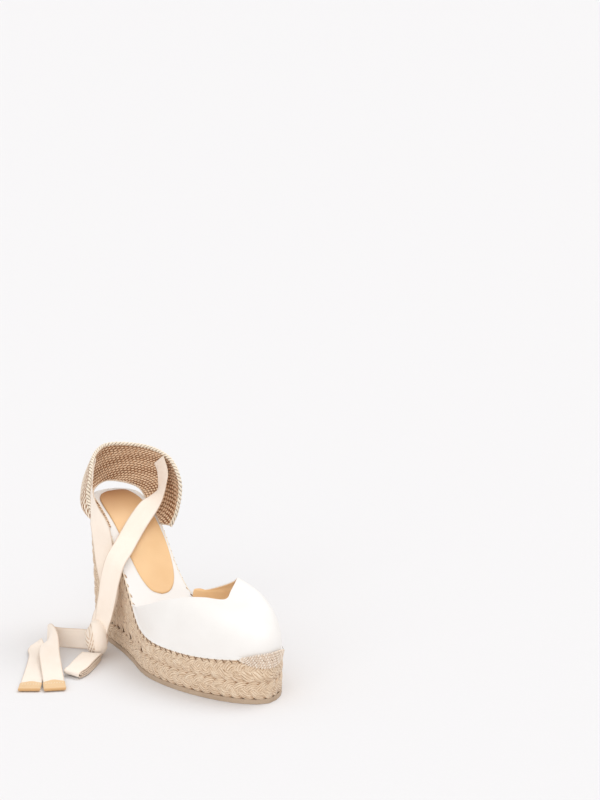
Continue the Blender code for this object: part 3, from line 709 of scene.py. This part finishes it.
def smooth_along(values, closed):
    """Running mean along a row of points."""
    kernel = np.hanning(17)[1:-1]
    kernel /= kernel.sum()
    pad = len(kernel) // 2
    padded = np.pad(values, [(pad, pad), (0, 0)], mode="wrap" if closed else "edge")
    return np.stack([np.convolve(padded[:, k], kernel, "valid") for k in range(3)], axis=1)


def gradient(values, closed):
    """Central differences along a row of points."""
    if closed:
        return (np.roll(values, -1, axis=0) - np.roll(values, 1, axis=0)) / 2
    return np.gradient(values, axis=0)


def plait(builder, low, high, closed, phase):
    """Three flat strands of yarn plaited between two edges on the wall."""
    def even(values):
        """The row's points at the rings of the strands."""
        if closed:
            values = np.vstack([values, values[:1]])
        return np.stack([np.interp(s, length, values[:, k]) for k in range(3)], axis=1)

    middle = (low + high) / 2
    dense = np.vstack([middle, middle[:1]]) if closed else middle
    length = distances(dense)
    total = length[-1]
    period = STRANDS * LOBE_PITCH
    if closed:
        period = total / max(1, round(total / period))
    s = np.linspace(0, total, int(total / PLAIT_STEP), endpoint=not closed)
    bottom, top = even(low), even(high)
    centre = (bottom + top) / 2
    along = unit(gradient(centre, closed))
    rise = top - bottom
    out = unit(np.cross(along, rise))
    if np.sum(out[:, 1] * centre[:, 1]) < 0:
        out = -out
    up = unit(np.cross(out, along))
    up = up * np.sign(np.sum(up * rise, axis=1))[:, None]
    half = np.abs(np.sum(up * rise, axis=1)) / 2 * 1.05
    size = np.clip(half / FULL_HALF_HEIGHT, 0.12, 1.25)
    wander = 0 if closed else 0.16 * np.sin(s / 11.3 + phase) + 0.12 * np.sin(s / 4.7 + 2 * phase)
    angle = np.linspace(0, 2 * math.pi, STRAND_SIDES, endpoint=False)[None]
    flat = np.sign(np.sin(angle)) * np.abs(np.sin(angle)) ** 0.7
    thick = STRAND_THICKNESS * size[:, None]
    at = np.append(s, total) if closed else s
    around = np.append(angle[0], 2 * math.pi) * 2.6
    for k in range(STRANDS):
        turn = 2 * math.pi * (s / period + k / STRANDS) + phase + wander
        lateral = STRAND_SWING * half * np.sin(turn)
        depth = -STRAND_DEPTH * size + 0.5 * size * np.sin(2 * turn)
        place = centre + up * lateral[:, None] + out * depth[:, None]
        tangent = unit(gradient(place, closed))
        face = unit(out - tangent * np.sum(out * tangent, axis=1)[:, None])
        side = np.cross(tangent, face)
        # Yarns twist along the strand, and stand out unevenly
        twist = 0.5 * np.sin(s / 6.1 + 3 * k + phase)[:, None] + 0.25 * np.sin(s / 2.3 + k)[:, None]
        ridge = 0.5 + 0.5 * np.cos(STRAND_RIDGES * (angle + twist))
        fuzz = 1 + 0.05 * np.sin(s / 1.9 + 5 * k)[:, None] * np.sin(3 * angle + s[:, None] / 7)
        yarn = 1 + 0.5 * np.sin(5 * angle + s[:, None] / 5.3 + k) * np.sin(3 * angle - s[:, None] / 8.1)
        radius = 0.92 * fuzz
        raised_yarn = YARN_HEIGHT * size[:, None] * yarn * ridge ** 0.6
        lateral = STRAND_WIDTH * half[:, None] * radius * np.cos(angle)
        body = thick * radius * flat
        normal = body + raised_yarn * flat
        ring = place[:, None] + side[:, None] * lateral[..., None] + face[:, None] * normal[..., None]
        # Painted shade: darker between the yarns, deep in the row, and where the strand dives under
        # another
        high = (depth[:, None] + body) / size[:, None]
        dive = np.clip(-np.sin(2 * turn), 0, 1)[:, None] ** 1.5
        shade = np.clip((high + 2.7) / 1.5, 0, 1) * (0.3 + 0.7 * ridge ** 0.8) * (1 - 0.7 * dive)
        uv = np.stack(np.meshgrid(at, around + 20 * k, indexing="ij"), axis=-1)
        builder.grid(ring, uv, wrap=True, loop=closed, shade=shade, caps=not closed)


def build_jute():
    """The base row all round, the top row that lands on it at the toe, and the wedge's short rows."""
    every = np.arange(LOOP_COUNT)
    u = ground_loop[:, 0]
    floor = OUTSOLE_THICKNESS + GAP + BASE_ROW_HEIGHT + GAP
    rows = [(level(OUTSOLE_THICKNESS + GAP), level(floor - GAP), every, True, "braid_base_row")]
    for row in range(1, UPPER_ROWS + 1):
        def high(u, above=row - 1):
            return footbed(u) - above * row_pitch(u)

        def low(u, below=row):
            landed = (below == 1) & (u > FOREFOOT_START)
            return np.where(landed, floor, np.maximum(footbed(u) - below * row_pitch(u), floor))

        keep = every
        if row > 1:
            keep = np.nonzero((high(u) - floor > SMALLEST_ROW) & (u < FOREFOOT_START))[0]
            keep = np.concatenate([keep[keep > LOOP_COUNT / 2], keep[keep <= LOOP_COUNT / 2]])
        rows.append((low, high, keep, row == 1, f"braid_row_{row}"))
    for number, (low, high, keep, closed, node) in enumerate(rows):
        builder = Builder()
        bottom = smooth_along(wall_points(low, 0, keep), closed)
        top = smooth_along(wall_points(high, 0, keep), closed)
        plait(builder, bottom, top, closed, 1.7 * number)
        # Dark band behind the plait, in painted shade, seen through the gaps between strands
        low, high = wall_points(low, BACKING_DEPTH, keep), wall_points(high, BACKING_DEPTH, keep)
        builder.grid(np.stack([low, (low + high) / 2, high], axis=1), loop=closed, slot=1)
        builder.make(f"jute_{node[6:]}", [JUTE, SHADED_BACKING], "shoe", [node], "jute")


build_jute()


# ---------- footbed and sock

def crowned_sheet(outer, inner, start, end, heights, edge, shade=None):
    """A layer on the footbed with rounded edges, between two outlines and two heights."""
    low, high = heights
    turn = np.linspace(0, math.pi, 220)
    share = (1 - np.cos(np.linspace(0, math.pi, 41))) / 2
    rows = []
    for u in start + 0.15 + (end - start - 0.3) * (1 - np.cos(turn)) / 2:
        a, b = float(outer(u)), float(inner(u))
        v = a + (b - a) * share
        inward = np.minimum(np.minimum(v - a, b - v), min(u - start, end - u) * 0.8)
        roll = np.sqrt(np.clip(1 - (1 - np.clip(inward / edge, 0, 1)) ** 2, 0, 1))
        top = footbed(u) + low + (high - low) * roll
        under = np.full_like(v, footbed(u) + low - 0.02)
        upper = np.stack([np.full_like(v, u), v, top], axis=1)
        lower = np.stack([np.full_like(v, u), v, under], axis=1)[::-1]
        rows.append(np.vstack([upper, lower[1:-1]]))
    rows = np.array(rows)
    builder = Builder()
    builder.grid(rows, wrap=True, shade=1.0 if shade is None else shade(rows[..., 0]), caps=True)
    return builder


def build_footbed():
    """The white leather over the footbed, and the tan sock, darker towards the heel as painted shade."""
    builder = crowned_sheet(*edge_sides(COVER_INSET), COVER_HEIGHTS, edge=1.6)
    builder.make("footbed_leather", [WHITE], "shoe", ["footbed_cover"], "white_leather", sharp=60)
    # Painted shade: the sock's tone falls towards the heel, so it darkens there
    builder = crowned_sheet(profile(SOCK_OUTER), profile(SOCK_INNER), SOCK_OUTER[0][0],
                            SOCK_OUTER[-1][0], SOCK_HEIGHTS, edge=0.9,
                            shade=lambda u: np.clip((u - 4) / 40, 0.02, 1) ** 0.9)
    builder.make("sock_leather", [TAN], "shoe", ["sock_liner"], "tan_leather", sharp=60)


build_footbed()


# ---------- upper

def rolled_shell(builder, grid, normals, outer, inner):
    """A shell between two offsets of a grid, with a rounded edge along its last column."""
    middle, half = (outer + inner) / 2, (outer - inner) / 2
    edge = unit(grid[:, -1] - grid[:, -2])
    roll = [grid[:, -1] + normals[:, -1] * (middle + half * math.sin(t)) + edge * half * math.cos(t)
            for t in ROLL_TURNS]
    roll = np.stack(roll, axis=1)
    builder.grid(np.concatenate([grid + normals * outer, roll[:, :3]], axis=1))
    builder.grid(np.concatenate([roll[:, 2:], (grid + normals * inner)[:, ::-1]], axis=1))


def build_vamp():
    """The white vamp, whose foot turns in to the jute, and its tan lining, deeper over the toe puff."""
    grid = vamp_grid(VAMP_COLUMNS, 60)
    feet = [feather_curve(VAMP_COLUMNS, inset, lift) for inset, lift in VAMP_FOOT]
    grid = np.concatenate([np.stack(feet, axis=1), grid], axis=1)
    normals = grid_normals(grid)
    if normals[VAMP_COLUMNS // 2, 30, 2] < 0:
        normals = -normals
    builder = Builder()
    rolled_shell(builder, grid, normals, 0.0, -VAMP_THICKNESS)
    builder.make("vamp_leather", [WHITE], "shoe", ["vamp"], "white_leather")
    lining = VAMP_THICKNESS + 0.25
    # It leaves out the vamp's two ends and its foot
    inner, normals = grid[14:-3, 8:], normals[14:-3, 8:]
    rise = np.linspace(0, 1, inner.shape[1])[None, :, None]
    inner = inner - normals * (1.05 * np.clip((0.92 - rise) / 0.2, 0, 1))
    builder = Builder()
    rolled_shell(builder, inner, normals, -lining, -lining - LINING_THICKNESS)
    builder.make("vamp_lining_leather", [TAN], "shoe", ["vamp_lining"], "tan_leather")


build_vamp()


def weave_height(along, up, pitch, slant):
    """Height, from 0 to 1, of interlaced threads at a place on the cloth in millimetres."""
    row = np.round(up / pitch[1])
    across = up / pitch[1] - row
    place = along / pitch[0] + 0.5 * (row % 2) + 0.08 * np.sin(3.7 * row + along / 9)
    stitch = np.round(place)
    beside = place - stitch + slant * across
    size = 1 + 0.12 * np.sin(12.9 * stitch + 7.3 * row)
    return np.clip(1 - (beside / (0.47 * size)) ** 2 - (across / (0.5 * size)) ** 2, 0, 1) ** 0.5


def build_counter():
    """The woven cloth of the counter, with finer threads on its inner face."""
    grid = counter_grid(columns=520, rows=130)
    normals = grid_normals(grid)
    if normals[220, 60, 0] > 0:
        normals = -normals
    # The cloth stops short of both ends of the surface
    grid, normals = grid[26:-13], normals[26:-13]
    down = distances(grid, 1)
    down = down[:, -1:] - down
    along = distances(grid).mean(axis=1, keepdims=True) + 0 * down
    outside = weave_height(along, down, OUTSIDE_THREAD, OUTSIDE_SLANT)
    inside = weave_height(along + 1.2, down, INSIDE_THREAD, INSIDE_SLANT)
    inside = np.clip(inside * 1.4 - 0.3, 0, 1)
    half = COUNTER_THICKNESS / 2 - 0.35
    first = grid + normals * (half + 0.45 * outside ** 0.7)[..., None]
    second = grid - normals * (half + 0.4 * inside ** 0.7)[..., None]
    edge = unit(grid[:, 0] - grid[:, 1])
    low = [grid[:, 0] + normals[:, 0] * (half * math.sin(x)) + edge * half * math.cos(x)
           for x in ROLL_TURNS]
    builder = Builder()
    builder.grid(first, shade=outside)
    builder.grid(second, slot=1, shade=inside)
    builder.grid(np.stack([first[:, 0], *low, second[:, 0]], axis=1), shade=0.8)
    builder.grid(np.stack([first[:, -1], second[:, -1]], axis=1), shade=0.5)
    for end in (0, -1):
        builder.grid(np.stack([first[end], second[end]], axis=1), shade=0.6)
    builder.make("counter_cloth", [WOVEN_OUT, WOVEN_IN], "shoe", ["heel_counter"], "weave")


def build_binding():
    """Two cords twisted together over the counter's rim."""
    full = counter_grid()
    grow = unit(full[:, -1] - full[:, -2])
    rim = spline(resample(full[:, -1] + grow * (RIM_RADIUS + 0.1), 58)[3:-1], 560)
    builder = Builder()
    along = unit(np.gradient(rim, axis=0))
    length = distances(rim)
    first = unit(np.cross(along, (0, 0, 1)))
    second = np.cross(first, along)
    angle = np.linspace(0, 2 * math.pi, 10, endpoint=False)[None]
    for k in range(2):
        turn = 2 * math.pi * (length / BINDING_PITCH + k / 2)
        place = rim + BINDING_OFFSET * (np.cos(turn)[:, None] * first + np.sin(turn)[:, None] * second)
        tangent = unit(np.gradient(place, axis=0))
        a = unit(np.cross(tangent, (0, 0, 1)))
        b = np.cross(a, tangent)
        plump = BINDING_RADIUS * (1 + 0.06 * np.sin(length / 0.9 + k))[:, None]
        ring = (place[:, None] + a[:, None] * (plump * np.cos(angle))[..., None]
                + b[:, None] * (plump * np.sin(angle))[..., None])
        # Painted shade: the cords darken where their surface is near the rim, in the groove between them
        away = np.sum((ring - rim[:, None]) ** 2, axis=2) ** 0.5
        builder.grid(ring, wrap=True, shade=np.clip((away - 0.85) / 0.55, 0, 1), caps=True)
    builder.make("counter_binding", [BINDING], "shoe", ["counter_rim"], "weave")


build_counter()
build_binding()


# ---------- stitching

def build_feather_stitches():
    """Dark blanket stitches along the feather line, over a pale cord."""
    edge = wall_points(raised(0.45), -0.25)
    normal = np.column_stack([ground_normals, np.zeros(LOOP_COUNT)])
    length = distances(edge)
    core = edge - normal * 0.9
    ring = [core + normal * (0.45 * math.cos(t)) + np.array([0, 0, 0.45 * math.sin(t)])
            for t in np.linspace(0, 2 * math.pi, 8, endpoint=False)]
    builder = Builder()
    builder.grid(np.stack(ring, axis=1), wrap=True, loop=True, slot=1)
    for at in np.arange(3.0, length[-1] - 3, FEATHER_STEP):
        i, j = np.searchsorted(length, (at, at + FEATHER_LENGTH))
        down = np.array([0, 0, -2.4 - 0.4 * math.sin(at)])
        start = edge[i] - normal[i] * 0.2
        end = edge[min(j, LOOP_COUNT - 1)] + normal[i] * 0.15 + down
        capsule(builder, start, end, FEATHER_RADIUS, lift=normal[i])
    builder.make("feather_stitches", [DARK_THREAD, BINDING], "shoe", ["feather_thread"], "thread")


def build_crescent():
    """Rows of small stitches that cover a crescent at the tip of the toe."""
    toe = np.nonzero(ground_loop[:, 0] > TOE_STITCH_START + CRESCENT_START)[0]
    crown = 1 - np.linspace(-1, 1, len(toe)) ** 2
    low, high = 0.6 - 7.4 * crown, 1.0 + 2.8 * crown
    normal = np.column_stack([ground_normals[toe], np.zeros(len(toe))])
    wall = WALL_FLARE * footbed(ground_loop[toe, 0])
    builder = Builder()
    for row in range(CRESCENT_ROWS):
        plan = ground_loop[toe] + ground_normals[toe] * (wall + 0.62)[:, None]
        lift = low + (high - low) * row / (CRESCENT_ROWS - 1)
        path = np.column_stack([plan, footbed(plan[:, 0]) + lift])
        along = distances(path)
        for at in np.arange(0.8 + (row % 2) * 1.1, along[-1] - 1, CRESCENT_STEP):
            i, j = np.searchsorted(along, (at, at + CRESCENT_STITCH))
            tilt = np.array([0, 0, 0.75])
            capsule(builder, path[i] - tilt, path[min(j, len(toe) - 1)] + tilt, CRESCENT_RADIUS,
                    lift=normal[i], sides=7, rise=0.25, shade=0.75 + 0.25 * math.sin(at * 7 + row))
    plan = ground_loop[toe] + ground_normals[toe] * (wall + 0.4)[:, None]
    base = [np.column_stack([plan, footbed(ground_loop[toe, 0]) + low + (high - low) * share])
            for share in np.linspace(0, 1, 9)]
    # A sheet under the stitches, darkened as painted shade between them
    builder.grid(np.stack(base, axis=1), shade=0.6)
    builder.make("toe_crescent", [GREY_THREAD], "shoe", ["toe_stitching"], "thread")


build_feather_stitches()
build_crescent()


# ---------- ribbons

def ribbon_grid(builder, stations, count, ripple=0.22, seed=0.0, pinch=0.0):
    """A woven tape with thicker selvedges and slight ripples; returns its length."""
    line = spline([np.concatenate([place, direction]) for place, direction in stations], count)
    centre = spline([place for place, _ in stations], count)
    along = unit(np.gradient(centre, axis=0))
    across = line[:, 3:]
    across = unit(across - along * np.sum(across * along, axis=1)[:, None])
    normal = np.cross(along, across)
    length = distances(centre)
    share = np.linspace(-1, 1, 17)
    narrow = 1 - pinch * np.clip(1 - length / 15, 0, 1) ** 1.5
    wave = ripple * (np.sin(length / 9 + seed)[:, None] * np.sin(2.1 * share + seed)
                     + 0.6 * np.sin(length / 4.3 + 2 * seed)[:, None] * share ** 3)
    wave = wave * np.clip(np.minimum(length, length[-1] - length) / 6, 0, 1)[:, None]
    selvedge = np.abs(share) > 0.99
    half = TAPE_THICKNESS / 2 * (1 - 0.25 * (np.abs(share) < 0.86)) * np.where(selvedge, 0.5, 1)
    middle = centre[:, None] + across[:, None] * (narrow[:, None] * share * RIBBON_WIDTH / 2)[..., None]
    over = middle + normal[:, None] * (wave + half)[..., None]
    under = middle + normal[:, None] * (wave - half)[..., None]
    # Painted shade: the selvedges take a lower tone, as shade between stacked layers
    tone = np.where(selvedge, 0.55, 1.0)
    builder.grid(np.concatenate([over, under[:, ::-1]], axis=1), wrap=True, caps=True,
                 shade=np.concatenate([tone, tone])[None])
    return length[-1]


def ribbon(name, stations, count, body, node, held, rests_on, **more):
    """One stretch of the tape."""
    builder = Builder()
    length = ribbon_grid(builder, stations, count, **more)
    made = builder.make(name, [TAPE], body, [node], "ribbon")


def build_knot():
    """Bands of pleated tape wrapped over each other on the knot's rounded body."""
    builder = Builder()
    turn = np.linspace(0, 2 * math.pi, 90)[:-1, None]
    share = np.linspace(-1, 1, 41)[None]
    edge = np.clip((1 - np.abs(share)) / 0.08, 0, 1) ** 0.5
    for axis, start, spread, scale, pleats, depth, shift in KNOT_BANDS:
        axis = unit(np.array(axis, float))
        e1 = unit(np.cross(axis, np.array(start, float)))
        e2 = np.cross(axis, e1)
        tilt = shift + share * spread + 0 * turn
        ray = ((np.cos(turn) * np.cos(tilt))[..., None] * e1
               + (np.sin(turn) * np.cos(tilt))[..., None] * e2 + np.sin(tilt)[..., None] * axis)
        fade = np.clip((1.05 - np.abs(tilt)) / 0.4, 0, 1)
        fold = np.cos(pleats * math.pi * share + 0.5 * np.sin(2 * turn))
        lift = scale + depth * fade * fold - 0.035 * (1 - edge)
        top = KNOT_CENTRE + ray * KNOT_RADII * lift[..., None]
        under = KNOT_CENTRE + ray * KNOT_RADII * (lift - 0.07)[..., None]
        # Painted shade: the pleats' valleys are darker
        pleat_shade = 1 + fade * (np.clip(0.72 + 0.5 * fold, 0.25, 1) - 1) if pleats > 1 else 1 + 0 * tilt
        builder.grid(np.concatenate([top, under[:, ::-1]], axis=1), wrap=True, loop=True,
                     shade=np.concatenate([pleat_shade, pleat_shade[:, ::-1]], axis=1))
    builder.make("ribbon_wraps", [TAPE], "shoe", ["ribbon_knot"], "ribbon")


def longer(stations):
    """The same route, carried on a little under the leather tip at its end."""
    (before, _), (last, turned) = stations[-2:]
    step = unit(np.array(last, float) - np.array(before, float)) * TAPE_IN_TIP
    return stations + [(tuple(np.array(last) + step), turned)]


def build_ribbons():
    """The two straps, whose lower ends are inside the knot, the run, both tails and the loop."""
    ribbon("ribbon_inner_strap", RIBBON_MEDIAL + MEDIAL_IN_KNOT, 290, "shoe", "ribbon_medial", "hung",
           ["counter_cloth", "ribbon_wraps"], seed=0.4)
    ribbon("ribbon_outer_strap", RIBBON_LATERAL + LATERAL_IN_KNOT, 230, "shoe", "ribbon_lateral",
           "hung", ["counter_cloth", "ribbon_wraps"], seed=1.9)
    ribbon("ribbon_run_tape", RIBBON_RUN, 80, "ribbon_run", "ribbon_run", "draped", ["ribbon_wraps"],
           seed=2.6, ripple=0.15)
    ribbon("ribbon_front_tail", longer(TAIL_FRONT), 170, "tail_front", "ribbon_tail_front", "laid",
           ["ribbon_rear_tail"], seed=3.1)
    ribbon("ribbon_rear_tail", TAIL_REAR_ROOT + longer(TAIL_REAR[2:]), 190, "tail_rear",
           "ribbon_tail_rear", "laid", ["floor"], seed=4.4, ripple=0.15, pinch=0.62)
    # The loop is a doubled tape: the outer layer, and one folded inside it
    builder = Builder()
    length = ribbon_grid(builder, LOOP, 150, seed=5.2, ripple=0.12)
    inner = []
    for (u, v, z), turned in LOOP:
        share = min(1, max(0, (z - 1.2) / 5.2))
        back = max(0, -84 - v) * 0.3
        inner.append(((u - 0.4 * back, v + back, 2.95 + 1.75 * share), turned))
    length += ribbon_grid(builder, inner, 150, seed=1.2, ripple=0.1)
    made = builder.make("ribbon_loop_tape", [TAPE], "loop", ["ribbon_loop"], "ribbon")
    build_knot()


def build_tip(name, tail, body, node):
    """Folded leather end with a row of stitches and a turned lower edge."""
    place = np.array(tail[-1][0], float)
    along = unit(place - np.array(tail[-2][0], float))
    across = unit(np.cross((0, 0, 1), along))
    normal = np.cross(along, across)
    half = RIBBON_WIDTH / 2 + 0.3
    rows = np.concatenate([np.linspace(0, TIP_ROOF, 12), np.linspace(TIP_ROOF, TIP_LENGTH, 40)[1:]])
    share = np.linspace(-1, 1, 31)
    start = place + along * 2 * GAP
    points = []
    for at in rows:
        wide = half * min(1, (at + 0.15) / TIP_ROOF)
        rim = np.clip(np.minimum((1 - np.abs(share)) * wide, min(at * 0.6, TIP_LENGTH - at)) / 0.7, 0, 1)
        puff = TIP_THICKNESS / 2 * (0.45 + 0.55 * np.sqrt(1 - (1 - rim) ** 2))
        seam = 0.16 * np.exp(-((at - TIP_SEAM) / 0.5) ** 2)
        groove = seam + 0.1 * np.exp(-((at - TIP_LENGTH + 3.2) / 0.35) ** 2)
        swell = 0.12 * np.exp(-(at - TIP_LENGTH + 1.6) ** 2)
        line = start + along * at + across * (share * wide)[:, None]
        top = line + normal * (puff - groove + swell)[:, None]
        low = line - normal * (puff * 0.96)[:, None]
        points.append(np.vstack([top, low[::-1][1:-1]]))
    builder = Builder()
    # Painted shade: the leather darkens over the last millimetre or so of the turned end
    dark = 1 - 0.65 * np.clip((rows - TIP_LENGTH + 1.3) / 1.2, 0, 1)
    builder.grid(np.array(points), wrap=True, caps=True, shade=dark[:, None])
    for v in np.arange(-half + 1.6, half - 1.8, 2.1):
        a = start + along * TIP_SEAM + across * v + normal * (TIP_THICKNESS / 2 - 0.08)
        capsule(builder, a, a + across * 1.35, 0.26, slot=1, lift=normal)
    builder.make(name, [TIP, STITCH], body, [node], "tan_leather", sharp=50)


build_ribbons()
build_tip("tip_front", TAIL_FRONT, "tail_front", "tail_tip_front")
build_tip("tip_rear", TAIL_REAR, "tail_rear", "tail_tip_rear")


# ---------- stage, lights and camera

def build_stage():
    """A pale floor, even light from all round, two soft suns and the camera."""
    n = Nodes("floor_paper", 0.9, specular=0.1)
    grain = n.noise(n.place((0.4, 0.4, 0.4), "object"), detail=3)
    n.colour(n.ramp(grain, [(0.3, (233, 232, 233)), (0.7, (234, 233, 234))]))
    mesh = bpy.data.meshes.new("floor")
    turns = [2 * math.pi * k / 24 for k in range(24)]
    rim = [(FLOOR_REACH * math.cos(turn), FLOOR_REACH * math.sin(turn), -0.0002) for turn in turns]
    mesh.from_pydata(rim, [], [tuple(range(24))])
    mesh.materials.append(n.material)
    place_object("floor", mesh)
    world = bpy.data.worlds.new("studio")
    world.use_nodes = True
    background = world.node_tree.nodes["Background"]
    background.inputs[0].default_value = (1.0, 0.995, 0.99, 1)
    background.inputs[1].default_value = WORLD_LIGHT
    bpy.context.scene.world = world
    for name, power, angle, turn in SUNS:
        lamp = bpy.data.lights.new(name, "SUN")
        lamp.energy = power
        lamp.angle = math.radians(angle)
        place_object(name, lamp).rotation_euler = [math.radians(part) for part in turn]
    lens = bpy.data.cameras.new("camera")
    lens.lens = CAMERA_LENS
    lens.sensor_width = 36
    lens.clip_end = 200
    camera = place_object("camera", lens)
    camera.location = CAMERA_PLACE
    camera.rotation_euler = [math.radians(part) for part in CAMERA_TURN]
    bpy.context.scene.camera = camera
    bpy.context.scene.view_settings.view_transform = "Standard"


build_stage()
